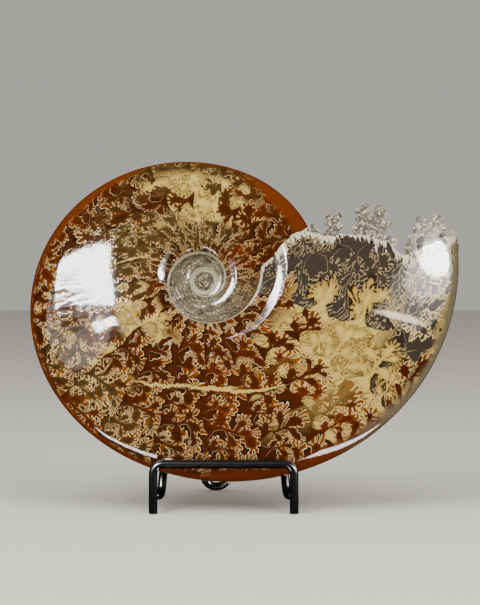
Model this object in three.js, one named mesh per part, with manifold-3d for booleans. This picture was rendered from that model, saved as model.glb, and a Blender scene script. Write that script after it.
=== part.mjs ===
// A polished cleoniceras ammonite that stands in a black wire stand.
// Millimetres, +Z up, +Y away from the viewer, origin on the floor under the middle of the whole part.
import * as THREE from "three";
import { mergeVertices } from "three/addons/utils/BufferGeometryUtils.js";
import Module from "manifold-3d";

const wasm = await Module();
wasm.setup();

const deg = Math.PI / 180;
const turn = 2 * Math.PI;

// The coil: a logarithmic spiral, a little wider than it is tall and lower than its own centre.
// Angles grow counterclockwise, seen from the front, towards the opening.
const coil = {
  radius: 113, // outer edge at angle 0
  growthPerTurn: 2.203,
  oval: 0.0479,
  ovalAngle: 3.5 * deg,
  sag: 0.0447,
  sagAngle: -96 * deg,
};
// The umbilicus, the funnel in the middle whose edge is the seam between two whorls.
const umbilicus = {
  radius: 26.1, // seam at angle 0
  growthPerTurn: 2.8,
  nucleusRadius: 5.6,
  nucleusHalfThickness: 3,
};
// Cross-section of a whorl, from the seam (share 0) to the outer edge (share 1).
const section = {
  halfThickness: 0.195, // of the whorl's outer radius
  shoulder: 0.18, // share where the wall of the umbilicus ends and the flank is thickest
  flankPower: 2.2,
  edgePower: 0.45,
};
const mesh = { stepsPerTurn: 48, wallSteps: 4 };
const flankShares = [0.5]; // between the shoulder and the next whorl's seam
const outerShares = [0.2, 0.4, 0.57, 0.72, 0.84, 0.92, 0.97, 1]; // from the next whorl's seam to the outer edge

// The broken opening: its angle along the section of the last whorl, and on the whorl under it.
const openingEdge = [
  [0, 10], [0.07, 15], [0.13, 21], [0.19, 24], [0.27, 21.5], [0.33, 17], [0.46, 15.5], [0.65, 10],
  [0.71, 5.5], [0.8, 7.5], [0.94, 10], [1, 9.8],
];
const underEdge = [[0, 10], [0.4, 10], [0.53, 15], [0.66, 21], [0.78, 25], [0.94, 27.5], [1, 28.4]];
const septumDip = 7; // how far the wall between the flanks sinks below the opening's edge
const septumSteps = 7;

// Free lobes at the opening, the saddles of the last suture, as trees of fingers in the plane of the shell.
// A tree stands at x, y from the coil's centre, and a finger is x, y of its root, x, y of its tip,
// width at the root and width at the tip, measured from its tree.
const lobeThickness = 3.6;
const lobeRecess = 0.25; // below the polished flank
const lobeTrees = [
  { // Beside the outer edge of the whorl underneath.
    at: [50, 15.4],
    fingers: [[-1, 0, 0.3, 6.7, 4.4, 2.4], [1.5, 1.5, 2.9, 4.6, 2.8, 1.5]],
  },
  { // The narrow tree.
    at: [60, 11.4],
    fingers: [
      [0, 0, 0, 11.5, 8.6, 6.6], [-1, 11, -2.4, 15.2, 3.8, 2.9], [-2.5, 14.5, -4, 15.4, 2, 1.5],
      [0.5, 11.5, 1.8, 16.4, 3.8, 2.6], [1.8, 14.6, 3.4, 15.6, 2, 1.6], [0.5, 9.5, 3.4, 11.2, 3, 2],
    ],
  },
  { // The wide tree.
    at: [76.6, 11.8],
    fingers: [
      [0.5, 0, -0.7, 11.7, 12.4, 10.4], [-3, 11, -1.9, 19.8, 6.2, 3.9], [-3.5, 17, -5.8, 18.4, 3, 1.5],
      [-4, 14.5, -5.8, 15.4, 3, 1.9], [2.5, 11.5, 3.5, 16.8, 5.6, 4.7], [3.5, 16, 4.4, 19.6, 3.8, 2.8],
      [4, 15.2, 6.5, 17.5, 3.3, 2.4], [4.4, 10.2, 9, 12.6, 3.7, 2.4], [4, 7, 4.9, 9.6, 3.8, 2.4],
      [-6.3, 7, -7, 10.2, 2.9, 1.9],
    ],
  },
  { // The knob in the deep notch.
    at: [86.3, 8.9],
    fingers: [[-0.5, 0, 0.7, 7.3, 5.6, 3.4], [0.2, 5.8, 2.2, 6.5, 1.9, 1.4], [0, 3.5, 1.8, 4.1, 1.9, 1.4]],
  },
  { // The tree near the outer edge.
    at: [104.3, 10],
    fingers: [
      [0.7, 0, 0.7, 11.8, 12.4, 10.4], [-8, 2.5, -9, 8, 5.6, 2.9], [-7.2, 7, -5.6, 9.6, 2.8, 1.9],
      [-2, 12, -3.1, 16.7, 7.6, 4.9], [-3.4, 17.2, -4.5, 18.2, 2.8, 2.4], [-2.5, 17.4, -1.3, 17.8, 2.4, 2.4],
      [-3.4, 13.2, -6, 14.6, 3.3, 1.5], [2.6, 12, 3.9, 18, 5.6, 4.3], [3.6, 17.5, 3.1, 19.6, 2.8, 2.4],
      [4, 17, 5.4, 18.9, 2.8, 2.4], [4.5, 14, 6.2, 15.8, 2.4, 1.9],
    ],
  },
  { // The stumps on the outer edge.
    at: [114.6, 15.6],
    fingers: [[-2.2, 0, 0.1, 6.2, 5.6, 3.3], [2.2, -1, 2.2, 2.9, 2.8, 2.4]],
  },
];

// The stand, bent from round iron rod.
const rod = { diameter: 4, sides: 10, weldGap: 0.4 };
const front = { legSpacing: 64.2, barTop: 24.8, bend: 4.5 };
const support = {
  startHeight: 8, // at the back of the front leg
  bendHeight: 6,
  bendX: 29.2, // from the stand's middle
  bendY: 22, // behind the front legs
  topX: 21,
  topY: 53,
  topHeight: 95,
  bend: 5,
};
const crossbar = { length: 50 };
const rearLeg = { topSpacing: 12, footSpacing: 11.6, footShift: -4.5, footY: 84, bend: 5.4 };

// Where the shell sits in the stand.
const shell = { lean: 12 * deg, yaw: -2 * deg, x: -9.1, y: 29.75, z: 104.6 };

const fossilColour = 0x8a5a2c;
const stoneLook = { color: fossilColour, roughness: 0.15, metalness: 0 };
const ironLook = { color: 0x0c0c0c, roughness: 0.3, metalness: 0 };

// Distance from the coil's centre to the outer edge at a growth angle.
function outerRadius(angle) {
  const spiral = coil.radius * Math.pow(coil.growthPerTurn, angle / turn);
  const oval = coil.oval * Math.cos(2 * (angle - coil.ovalAngle));
  const sag = coil.sag * Math.cos(angle - coil.sagAngle);
  return spiral * Math.exp(oval + sag);
}

// Distance from the coil's centre to the seam with the whorl inside it.
function seamRadius(angle) {
  const spiral = umbilicus.radius * Math.pow(umbilicus.growthPerTurn, angle / turn);
  return Math.max(spiral, umbilicus.nucleusRadius);
}

// Half the shell's thickness at the seam, on the flank of the whorl inside.
function seamHeight(angle) {
  if (angle < innerStart + turn) return umbilicus.nucleusHalfThickness;
  return flankHeight(angle - turn, seamRadius(angle));
}

// Half the shell's thickness at a growth angle and a distance from the coil's centre.
function flankHeight(angle, radius) {
  const inner = seamRadius(angle);
  const outer = outerRadius(angle);
  const share = THREE.MathUtils.clamp((radius - inner) / (outer - inner), 0, 1);
  const base = seamHeight(angle);
  const toShoulder = 1 - Math.min(share / section.shoulder, 1);
  const rise = Math.sqrt(1 - toShoulder * toShoulder);
  const taper = Math.pow(1 - Math.pow(share, section.flankPower), section.edgePower);
  return base + (section.halfThickness * outer * taper - base) * rise;
}

// Value of a line through hand-chosen [place, value] points.
function alongLine(points, place) {
  const last = points.findIndex(([at]) => at >= place);
  if (last <= 0) return points[last < 0 ? points.length - 1 : 0][1];
  const [[p0, v0], [p1, v1]] = [points[last - 1], points[last]];
  return THREE.MathUtils.mapLinear(place, p0, p1, v0, v1);
}

const lastStart = alongLine(underEdge, 0) * deg - turn;
const innerStart =
  Math.log(umbilicus.nucleusRadius / umbilicus.radius) / (Math.log(umbilicus.growthPerTurn) / turn) - turn;

// Share of a whorl's section that the next whorl leaves uncovered.
function openShare(angle) {
  const inner = seamRadius(angle);
  return (seamRadius(angle + turn) - inner) / (outerRadius(angle) - inner);
}

// Shares of the section where the mesh has a row: dense on the umbilicus wall and near the outer edge.
function sectionShares() {
  const shares = [];
  for (let i = 0; i <= mesh.wallSteps; i++) {
    shares.push(section.shoulder * (1 - Math.cos(((i / mesh.wallSteps) * Math.PI) / 2)));
  }
  const seam = openShare(lastStart);
  for (const share of flankShares) shares.push(THREE.MathUtils.lerp(section.shoulder, seam, share));
  shares.push(seam);
  const seamRow = shares.length - 1;
  for (const share of outerShares) shares.push(THREE.MathUtils.lerp(seam, 1, share));
  return { shares, seamRow };
}

// The polished coil as one closed solid: two mirrored sides that meet on the outer edge, and the opening's wall.
function coilGeometry() {
  const { shares, seamRow } = sectionShares();
  const edgeRow = shares.length - 1;
  const steps = mesh.stepsPerTurn;
  const positions = [];
  const faces = [];

  function addPoint(angle, radius, height) {
    positions.push(radius * Math.cos(angle), radius * Math.sin(angle), height);
    return positions.length / 3 - 1;
  }
  function addSurfacePoint(angle, share, side) {
    const inner = seamRadius(angle);
    const radius = inner + share * (outerRadius(angle) - inner);
    return addPoint(angle, radius, side * flankHeight(angle, radius));
  }
  function addFace(a, b, c, side) {
    faces.push(...(side > 0 ? [a, b, c] : [a, c, b]));
  }
  function addGrid(columns, side) {
    for (let i = 0; i + 1 < columns.length; i++) {
      for (let j = 0; j + 1 < columns[i].length; j++) {
        const [a, b] = [columns[i][j], columns[i][j + 1]];
        const [c, d] = [columns[i + 1][j], columns[i + 1][j + 1]];
        addFace(a, b, d, side);
        addFace(a, d, c, side);
      }
    }
  }
  function radiusOf(point) {
    return Math.hypot(positions[3 * point], positions[3 * point + 1]);
  }
  // Triangles between two rows of points that share their first and their last point.
  function addZip(outerRow, innerRow, side) {
    let [i, j] = [0, 0];
    while (i + 1 < outerRow.length || j + 1 < innerRow.length) {
      const outerNext = i + 1 < outerRow.length ? radiusOf(outerRow[i + 1]) : Infinity;
      const innerNext = j + 1 < innerRow.length ? radiusOf(innerRow[j + 1]) : Infinity;
      if (outerNext <= innerNext) addFace(outerRow[i], outerRow[++i], innerRow[j], side);
      else addFace(outerRow[i], innerRow[j + 1], innerRow[j++], side);
    }
  }

  for (const side of [1, -1]) {
    const lastWhorl = [];
    for (let i = 0; i <= steps; i++) {
      lastWhorl.push(shares.map((share) => {
        const from = alongLine(underEdge, share) * deg - turn;
        const to = alongLine(openingEdge, share) * deg;
        return addSurfacePoint(THREE.MathUtils.lerp(from, to, i / steps), share, side);
      }));
    }
    addGrid(lastWhorl, side);

    const innerSteps = Math.ceil(((lastStart - innerStart) / turn) * steps);
    const innerWhorls = [];
    for (let i = innerSteps; i >= 0; i--) {
      const angle = lastStart - (i / steps) * turn;
      const scale = Math.max(openShare(angle), 0) / shares[seamRow];
      innerWhorls.push(shares.slice(0, seamRow + 1).map((share) => addSurfacePoint(angle, share * scale, side)));
    }
    addGrid(innerWhorls, side);

    const nucleus = addPoint(0, 0, side * umbilicus.nucleusHalfThickness);
    for (let i = 0; i < steps; i++) addFace(nucleus, innerWhorls[i][0], innerWhorls[i + 1][0], side);

    const openingRow = lastWhorl[steps];
    const wallRow = lastWhorl[0].slice(seamRow);
    const [nearRadius, farRadius] = [radiusOf(wallRow[wallRow.length - 1]), radiusOf(openingRow[edgeRow])];
    for (let i = 1; i < septumSteps; i++) {
      const share = i / septumSteps;
      const radius = THREE.MathUtils.lerp(nearRadius, farRadius, share);
      const edgeShare = (radius - seamRadius(0)) / (farRadius - seamRadius(0));
      const dip = (septumDip / radius) * Math.sin(Math.PI * share);
      wallRow.push(addPoint(alongLine(openingEdge, edgeShare) * deg - dip, radius, 0));
    }
    wallRow.push(openingRow[edgeRow]);
    addZip(openingRow, wallRow, side);
  }
  return closedGeometry(positions, faces);
}

// A mesh with its shared points merged and its empty triangles dropped.
function closedGeometry(positions, faces) {
  const geometry = new THREE.BufferGeometry();
  geometry.setAttribute("position", new THREE.Float32BufferAttribute(positions, 3));
  geometry.setIndex(faces);
  const merged = mergeVertices(geometry, 1e-3);
  const index = merged.index.array;
  const kept = [];
  for (let i = 0; i < index.length; i += 3) {
    const [a, b, c] = index.slice(i, i + 3);
    if (a !== b && b !== c && c !== a) kept.push(a, b, c);
  }
  merged.setIndex(kept);
  return merged;
}

// One finger of a free lobe: a flat tapered plate with round ends.
function fingerSolid([x, y], [fromX, fromY, toX, toY, rootWidth, tipWidth]) {
  const [x0, y0, x1, y1] = [x + fromX, y + fromY, x + toX, y + toY];
  const direction = Math.atan2(y1 - y0, x1 - x0);
  const lean = Math.asin((rootWidth - tipWidth) / 2 / Math.hypot(x1 - x0, y1 - y0));
  const outline = new THREE.Shape();
  outline.absarc(x0, y0, rootWidth / 2, direction + Math.PI / 2 - lean, direction - Math.PI / 2 + lean, false);
  outline.absarc(x1, y1, tipWidth / 2, direction - Math.PI / 2 + lean, direction + Math.PI / 2 - lean, false);
  return toSolid(new THREE.ExtrudeGeometry(outline, { depth: 1, bevelEnabled: false, curveSegments: 2 }));
}

// The free lobes of one side: the fingers joined flat, then laid on the flank that they grew with.
function lobeSolid(side) {
  const fingers = lobeTrees.flatMap((tree) => tree.fingers.map((finger) => fingerSolid(tree.at, finger)));
  const geometry = fromSolid(fingers.reduce((joined, finger) => joined.add(finger)));
  const points = geometry.attributes.position;
  for (let i = 0; i < points.count; i++) {
    const [x, y, depth] = [points.getX(i), points.getY(i), points.getZ(i)];
    const flank = flankHeight(Math.atan2(y, x), Math.hypot(x, y)) - lobeRecess;
    points.setZ(i, side * (flank - lobeThickness * (1 - depth)));
  }
  if (side < 0) geometry.index.array.reverse();
  return toSolid(geometry);
}

function toSolid(geometry) {
  const bare = geometry.clone();
  bare.deleteAttribute("normal");
  bare.deleteAttribute("uv");
  const merged = mergeVertices(bare, 1e-3);
  const vertProperties = merged.attributes.position.array;
  return new wasm.Manifold(new wasm.Mesh({ numProp: 3, vertProperties, triVerts: merged.index.array }));
}

function fromSolid(solid) {
  const { vertProperties, triVerts } = solid.getMesh();
  const geometry = new THREE.BufferGeometry();
  geometry.setAttribute("position", new THREE.BufferAttribute(vertProperties, 3));
  geometry.setIndex(new THREE.BufferAttribute(triVerts, 1));
  geometry.computeVertexNormals();
  return geometry;
}

function ammonite() {
  let solid = toSolid(coilGeometry());
  for (const side of [1, -1]) solid = solid.add(lobeSolid(side));
  const piece = new THREE.Mesh(fromSolid(solid), new THREE.MeshStandardMaterial(stoneLook));
  piece.name = "ammonite";
  const upright = new THREE.Group(); // stands the shell up with its front towards -Y, leaning back
  upright.rotation.set(Math.PI / 2 - shell.lean, 0, shell.yaw, "ZYX");
  upright.position.set(shell.x, shell.y, shell.z);
  upright.add(piece);
  return upright;
}

// A path with straight stretches and round bends, with a station only where the rod's mesh needs one.
class BentPath extends THREE.Curve {
  constructor(corners, bend, bendSteps = 5) {
    super();
    this.stations = [corners[0]];
    for (let i = 1; i + 1 < corners.length; i++) {
      const [before, corner, after] = corners.slice(i - 1, i + 2);
      const inward = before.clone().sub(corner).normalize();
      const outward = after.clone().sub(corner).normalize();
      const reach = bend / Math.tan(inward.angleTo(outward) / 2);
      const start = corner.clone().addScaledVector(inward, reach);
      const end = corner.clone().addScaledVector(outward, reach);
      const centreWay = inward.clone().add(outward).normalize();
      const centre = corner.clone().addScaledVector(centreWay, Math.hypot(reach, bend));
      const [first, last] = [start.clone().sub(centre), end.clone().sub(centre)];
      const sweep = first.angleTo(last);
      for (let k = 0; k <= bendSteps; k++) {
        const share = k / bendSteps;
        const ray = first.clone().multiplyScalar(Math.sin((1 - share) * sweep) / Math.sin(sweep));
        ray.addScaledVector(last, Math.sin(share * sweep) / Math.sin(sweep));
        this.stations.push(ray.add(centre));
      }
    }
    this.stations.push(corners[corners.length - 1]);
  }
  getPoint(t) {
    const place = t * (this.stations.length - 1);
    const index = Math.min(Math.floor(place), this.stations.length - 2);
    return this.stations[index].clone().lerp(this.stations[index + 1], place - index);
  }
  getPointAt(u) {
    return this.getPoint(u);
  }
  getTangentAt(u) {
    const place = Math.round(u * (this.stations.length - 1));
    const before = this.stations[Math.max(place - 1, 0)];
    const here = this.stations[place];
    const after = this.stations[Math.min(place + 1, this.stations.length - 1)];
    const inward = here.clone().sub(before).normalize();
    return inward.add(after.clone().sub(here).normalize()).normalize();
  }
}

function rodMesh(name, corners, bend) {
  const path = new BentPath(corners, bend);
  const outline = new THREE.Shape();
  const half = Math.PI / rod.sides; // turns a flat of the section down
  const reach = rod.diameter / 2;
  for (let i = 0; i < rod.sides; i++) {
    const angle = half + (i * turn) / rod.sides;
    const point = [reach * Math.cos(angle), reach * Math.sin(angle)];
    if (i === 0) outline.moveTo(...point);
    else outline.lineTo(...point);
  }
  const geometry = new THREE.ExtrudeGeometry(outline, { steps: path.stations.length - 1, extrudePath: path });
  const piece = new THREE.Mesh(geometry, new THREE.MeshStandardMaterial(ironLook));
  piece.name = name;
  return piece;
}

const at = (x, y, z) => new THREE.Vector3(x, y, z);

// Where a rod that runs from one rod's axis towards a point starts, clear of that rod.
function besideRod(axisPoint, towards) {
  const way = towards.clone().sub(axisPoint).normalize();
  return axisPoint.clone().addScaledVector(way, rod.diameter / 2 + rod.weldGap);
}

function frontFrame() {
  const x = front.legSpacing / 2;
  const barHeight = front.barTop - rod.diameter / 2;
  return rodMesh("stand_front_frame", [at(-x, 0, 0), at(-x, 0, barHeight), at(x, 0, barHeight), at(x, 0, 0)], front.bend);
}

function sideSupport(name, side) {
  const leg = at((side * front.legSpacing) / 2, 0, support.startHeight);
  const corner = at(side * support.bendX, support.bendY, support.bendHeight);
  const top = at(side * support.topX, support.topY, support.topHeight);
  return rodMesh(name, [besideRod(leg, corner), corner, top], support.bend);
}

// Height and depth of the crossbar, which lies behind the supports' tops.
function crossbarPlace() {
  const rise = at(0, support.topY - support.bendY, support.topHeight - support.bendHeight).normalize();
  const back = at(0, rise.z, -rise.y).multiplyScalar(rod.diameter + rod.weldGap);
  return at(0, support.topY, support.topHeight).addScaledVector(rise, -rod.diameter).add(back);
}

function topCrossbar() {
  const place = crossbarPlace();
  const end = at(crossbar.length / 2, 0, 0);
  return rodMesh("stand_crossbar", [place.clone().sub(end), place.clone().add(end)], 0);
}

function hairpinLeg() {
  const foot = at(rearLeg.footShift, rearLeg.footY, rod.diameter / 2);
  const top = besideRod(crossbarPlace(), foot);
  const topHalf = at(rearLeg.topSpacing / 2, 0, 0);
  const footHalf = at(rearLeg.footSpacing / 2, 0, 0);
  const corners = [top.clone().sub(topHalf), foot.clone().sub(footHalf), foot.clone().add(footHalf), top.clone().add(topHalf)];
  return rodMesh("stand_rear_leg", corners, rearLeg.bend);
}

const part = new THREE.Group();
part.add(
  ammonite(),
  frontFrame(),
  sideSupport("stand_left_support", -1),
  sideSupport("stand_right_support", 1),
  topCrossbar(),
  hairpinLeg(),
);
part.updateMatrixWorld(true);
const middle = new THREE.Box3().setFromObject(part, true).getCenter(new THREE.Vector3());
for (const child of part.children) child.position.sub(at(middle.x, middle.y, 0));

export default part;
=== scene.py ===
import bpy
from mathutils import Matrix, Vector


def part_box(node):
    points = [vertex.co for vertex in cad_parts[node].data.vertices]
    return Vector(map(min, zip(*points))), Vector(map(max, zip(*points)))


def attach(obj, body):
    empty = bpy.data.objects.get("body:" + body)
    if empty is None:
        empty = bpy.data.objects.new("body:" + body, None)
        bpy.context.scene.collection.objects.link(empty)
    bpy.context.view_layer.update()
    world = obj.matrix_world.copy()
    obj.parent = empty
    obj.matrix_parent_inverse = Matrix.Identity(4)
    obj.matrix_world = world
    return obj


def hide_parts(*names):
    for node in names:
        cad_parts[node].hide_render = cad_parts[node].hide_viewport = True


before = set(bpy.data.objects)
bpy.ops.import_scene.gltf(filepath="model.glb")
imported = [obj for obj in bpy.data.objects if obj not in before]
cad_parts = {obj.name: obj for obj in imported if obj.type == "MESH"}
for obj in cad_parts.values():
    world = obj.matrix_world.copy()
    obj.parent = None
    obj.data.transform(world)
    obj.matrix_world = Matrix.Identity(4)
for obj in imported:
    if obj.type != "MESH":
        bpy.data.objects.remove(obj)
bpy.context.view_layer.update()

import ast
import math

import bmesh
import bpy
import numpy as np
from bpy.props import FloatProperty, FloatVectorProperty, IntProperty, PointerProperty
from mathutils import Euler, Matrix, Quaternion, Vector

bl_info = {
    "name": "Ammonite on a wire stand",
    "version": (1, 0, 0),
    "blender": (4, 5, 0),
    "location": "3D View > Sidebar > Ammonite",
    "description": "Builds a polished ammonite with its suture pattern, its free lobes and its wire stand",
    "category": "Object",
}

MM = 0.001
TURN = 2 * math.pi


def linear(hex_colour):
    """An sRGB hex colour as linear red, green, blue and alpha."""
    parts = [int(hex_colour[i : i + 2], 16) / 255 for i in (1, 3, 5)]
    return [c / 12.92 if c <= 0.04045 else ((c + 0.055) / 1.055) ** 2.4 for c in parts] + [1.0]


def colour(name, hex_colour, description):
    """A colour setting with its default."""
    return FloatVectorProperty(
        name=name, description=description, subtype="COLOR", size=4, min=0, max=1, default=linear(hex_colour)
    )


def length(name, millimetres, description):
    """A length setting with its default."""
    return FloatProperty(name=name, description=description, unit="LENGTH", min=0, default=millimetres * MM)


class CoilSizes(bpy.types.PropertyGroup):
    """Driving sizes of the coil."""

    radius: length("Radius", 113, "From the coil's centre to the outer edge at the opening")
    growth: FloatProperty(
        name="Growth", description="Growth of the outer edge in a turn", default=2.203, min=1
    )
    umbilicus_radius: length("Umbilicus", 26.1, "From the coil's centre to the seam at the opening")
    umbilicus_growth: FloatProperty(
        name="Seam growth", description="Growth of the seam in a turn", default=2.8, min=1
    )
    nucleus_radius: length("Nucleus", 5.6, "Radius of the flat disc in the middle")
    nucleus_height: length("Nucleus height", 3, "Half the thickness of that disc")
    thickness: FloatProperty(
        name="Thickness", description="Half the whorl's thickness, of its outer radius", default=0.195, min=0
    )
    steps: IntProperty(name="Steps", description="Rows of faces in a turn", default=320, min=24)
    lobe_thickness: length("Lobe thickness", 3.6, "Thickness of the free lobes")
    lobe_voxel: length("Lobe detail", 0.36, "Size of the smallest form of the free lobes")


class FossilColours(bpy.types.PropertyGroup):
    """Colours of the fossil."""

    brown: colour("Brown", "#421E09", "Iron-stained calcite deep in a chamber")
    glow: colour("Glow", "#8E5014", "Thin stained calcite at the tips of the fronds")
    ember: colour("Ember", "#6E2803", "Redder stained calcite in some fronds")
    outline: colour("Outline", "#F4D69A", "Lime that lines the septa")
    # Cream line is also the colour of painted shade that darkens the cream fronds towards their outlines.
    cream_line: colour("Cream line", "#5C4018", "Thin sutures between two cream chambers")
    old_outline: colour("Old outline", "#D2B478", "Stained lime of the older septa")
    # Gap is also the colour of a painted shadow that darkens the calcite just outside each frond's outline.
    gap: colour("Gap", "#1C140A", "Dark matter between two chambers")
    cream: colour("Cream", "#C4A85A", "Cream calcite")
    grey: colour("Grey", "#3A322A", "Clear grey calcite")
    olive: colour("Olive", "#48361B", "Olive calcite")
    rim: colour("Rim", "#642B05", "Clear brown calcite on the outer edge")
    pale_rim: colour("Pale rim", "#6E634E", "Tan calcite on the outer edge near the opening")
    umbilicus: colour("Umbilicus", "#665C4A", "Clear grey calcite of the inner whorls")
    seam: colour("Seam", "#B9B494", "Pale lime along the seam")
    lobe: colour("Lobe", "#565246", "Clear calcite of the free lobes")
    # Lobe edge gives the pale frost specks of the free lobes, and also a painted sheen where they turn
    # edge-on to the eye.
    lobe_edge: colour("Lobe edge", "#E2D3B6", "Frosted edges of the free lobes")


class StandSizes(bpy.types.PropertyGroup):
    """Driving sizes of the wire stand."""

    rod: length("Rod", 4, "Diameter of the iron rod")
    leg_spacing: length("Leg spacing", 64.2, "Between the two front legs")
    bar_top: length("Bar height", 24.8, "Top of the bar that the shell leans on")
    bend: length("Bend", 4.5, "Radius of the front frame's bends")
    crossbar: length("Crossbar", 50, "Length of the bar behind the shell")
    sides: IntProperty(name="Sides", description="Sides of the rod's section", default=24, min=8)
    paint: colour("Paint", "#070707", "Black paint on the iron")
    dust: colour("Dust", "#3A3834", "Specks of dust on the paint")


class StageSettings(bpy.types.PropertyGroup):
    """The floor and the camera."""

    floor: colour("Floor", "#D9D5CE", "Plain pale floor")
    floor_shade: colour("Floor shade", "#D4D0C8", "Darker grain of the floor")
    air: colour("Air", "#E9E6E0", "Soft light from all round")
    floor_size: length("Floor size", 4000, "Side of the square floor")
    lens: FloatProperty(name="Lens", description="Focal length in millimetres", default=128.92, min=1)


def add_node(tree, kind, inputs=(), **settings):
    """Adds a node. Inputs are sockets to link from or plain values, in order, or by name in a dict."""
    node = tree.nodes.new("ShaderNode" + kind)
    for name, value in settings.items():
        setattr(node, name, value)
    pairs = inputs.items() if isinstance(inputs, dict) else enumerate(inputs)
    for name, value in pairs:
        if isinstance(value, bpy.types.NodeSocket):
            tree.links.new(value, node.inputs[name])
        else:
            node.inputs[name].default_value = value
    return node


SIGNS = {
    ast.Add: "ADD", ast.Sub: "SUBTRACT", ast.Mult: "MULTIPLY", ast.Div: "DIVIDE", ast.Gt: "GREATER_THAN",
    ast.Lt: "LESS_THAN",
}
CALLS = {
    "max": "MAXIMUM", "min": "MINIMUM", "blend": "SMOOTH_MIN", "abs": "ABSOLUTE", "floor": "FLOOR",
    "round": "ROUND", "sqrt": "SQRT", "exp": "EXPONENT", "cos": "COSINE", "sin": "SINE", "atan2": "ARCTAN2",
}


def formula_result(tree, known, part):
    """What a part of a formula gives: a number, a known socket, or the output of nodes that work it out."""
    if isinstance(part, ast.Constant):
        return part.value
    if isinstance(part, ast.Name):
        return known[part.id] if part.id in known else PATTERN[part.id]
    if isinstance(part, ast.UnaryOp) and isinstance(part.operand, ast.Constant):
        return -part.operand.value

    clamped = isinstance(part, ast.Call) and part.func.id == "clamp"
    if clamped:
        part = part.args[0]
    if isinstance(part, ast.Call):
        operation, terms = CALLS[part.func.id], part.args
    elif isinstance(part, ast.Compare):
        operation, terms = SIGNS[type(part.ops[0])], [part.left, *part.comparators]
    elif isinstance(part, ast.UnaryOp):
        operation, terms = "MULTIPLY", [part.operand, ast.Constant(-1.0)]
    elif isinstance(part.op, ast.Add) and isinstance(getattr(part.left, "op", None), ast.Mult):
        operation, terms = "MULTIPLY_ADD", [part.left.left, part.left.right, part.right]
    else:
        operation, terms = SIGNS[type(part.op)], [part.left, part.right]
    results = [formula_result(tree, known, term) for term in terms]
    return add_node(tree, "Math", results, operation=operation, use_clamp=clamped).outputs[0]


def add_formulas(tree, known, text):
    """Adds the nodes for each line of a text, a name = a formula, and makes its result known by that name."""
    for line in text.strip().splitlines():
        name, _, formula = line.partition("=")
        known[name.strip()] = formula_result(tree, known, ast.parse(formula.strip()).body[0].value)


# The coil. Angles grow counterclockwise, seen from the front, towards the opening.
OVAL, OVAL_ANGLE = 0.0479, math.radians(3.5)
SAG, SAG_ANGLE = 0.0447, math.radians(-96)
SHOULDER = 0.18
FLANK_POWER, EDGE_POWER = 2.2, 0.45
# The broken opening: angle in degrees along the section of the last whorl, and on the whorl under it.
OPENING_EDGE = [
    (0, 10), (0.07, 15), (0.13, 21), (0.19, 24), (0.27, 21.5), (0.33, 17), (0.46, 15.5), (0.65, 10),
    (0.71, 5.5), (0.8, 7.5), (0.94, 10), (1, 9.8),
]
UNDER_EDGE = [(0, 10), (0.4, 10), (0.53, 15), (0.66, 21), (0.78, 25), (0.94, 27.5), (1, 28.4)]
SEPTUM_DIP = 7 * MM
LEAN, YAW = math.radians(12), math.radians(-2)
COIL_FROM_STAND = Vector((-9.1, 29.75, 104.6)) * MM


def along(points, place):
    """Values of a line through [place, value] points."""
    return np.interp(place, [p for p, _ in points], [v for _, v in points])


class Coil:
    """The coil's formulas, in metres and radians."""

    def __init__(self, sizes):
        self.sizes = sizes
        self.last_start = math.radians(UNDER_EDGE[0][1]) - TURN
        seam_growth = math.log(sizes.umbilicus_growth) / TURN
        self.inner_start = math.log(sizes.nucleus_radius / sizes.umbilicus_radius) / seam_growth - TURN

    def outer_radius(self, angle):
        spiral = self.sizes.radius * np.power(self.sizes.growth, angle / TURN)
        return spiral * np.exp(OVAL * np.cos(2 * (angle - OVAL_ANGLE)) + SAG * np.cos(angle - SAG_ANGLE))

    def seam_radius(self, angle):
        spiral = self.sizes.umbilicus_radius * np.power(self.sizes.umbilicus_growth, angle / TURN)
        return np.maximum(spiral, self.sizes.nucleus_radius)

    def seam_height(self, angle):
        height = np.full(angle.shape, self.sizes.nucleus_height)
        over = angle >= self.inner_start + TURN
        if over.any():
            height[over] = self.flank_height(angle[over] - TURN, self.seam_radius(angle[over]))
        return height

    def flank_height(self, angle, radius):
        """Half the shell's thickness at a growth angle and a distance from the coil's centre."""
        inner, outer = self.seam_radius(angle), self.outer_radius(angle)
        share = np.clip((radius - inner) / (outer - inner), 0, 1)
        base = self.seam_height(angle)
        to_shoulder = 1 - np.minimum(share / SHOULDER, 1)
        rise = np.sqrt(1 - to_shoulder**2)
        taper = np.power(1 - np.power(share, FLANK_POWER), EDGE_POWER)
        return base + (self.sizes.thickness * outer * taper - base) * rise

    def open_share(self, angle):
        """Share of a whorl's section that the next whorl leaves uncovered."""
        inner = self.seam_radius(angle)
        return (self.seam_radius(angle + TURN) - inner) / (self.outer_radius(angle) - inner)

    def surface(self, angle, share):
        """Points on the front flank."""
        inner = self.seam_radius(angle)
        radius = inner + share * (self.outer_radius(angle) - inner)
        height = self.flank_height(angle, radius)
        return np.stack([radius * np.cos(angle), radius * np.sin(angle), height], axis=-1)

    def growth_of(self, angle, share):
        """Growth angle, logarithm of the outer radius over the radius, and distance from the seam in mm."""
        inner, outer = self.seam_radius(angle), self.outer_radius(angle)
        radius = inner + share * (outer - inner)
        return np.stack([angle, np.log(outer / radius), (radius - inner) / MM], axis=-1)


def stand_middle():
    """The point on the floor midway between the two front legs."""
    low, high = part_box("stand_front_frame")
    return Vector(((low.x + high.x) / 2, (low.y + high.y) / 2, 0))


def coil_matrix():
    """Stands the coil up with its front towards -Y, leaning back on the stand."""
    turn = Matrix.Rotation(YAW, 4, "Z") @ Matrix.Rotation(math.pi / 2 - LEAN, 4, "X")
    return Matrix.Translation(stand_middle() + COIL_FROM_STAND) @ turn


FAR_FROM_EDGE = 99.0  # mm


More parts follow.
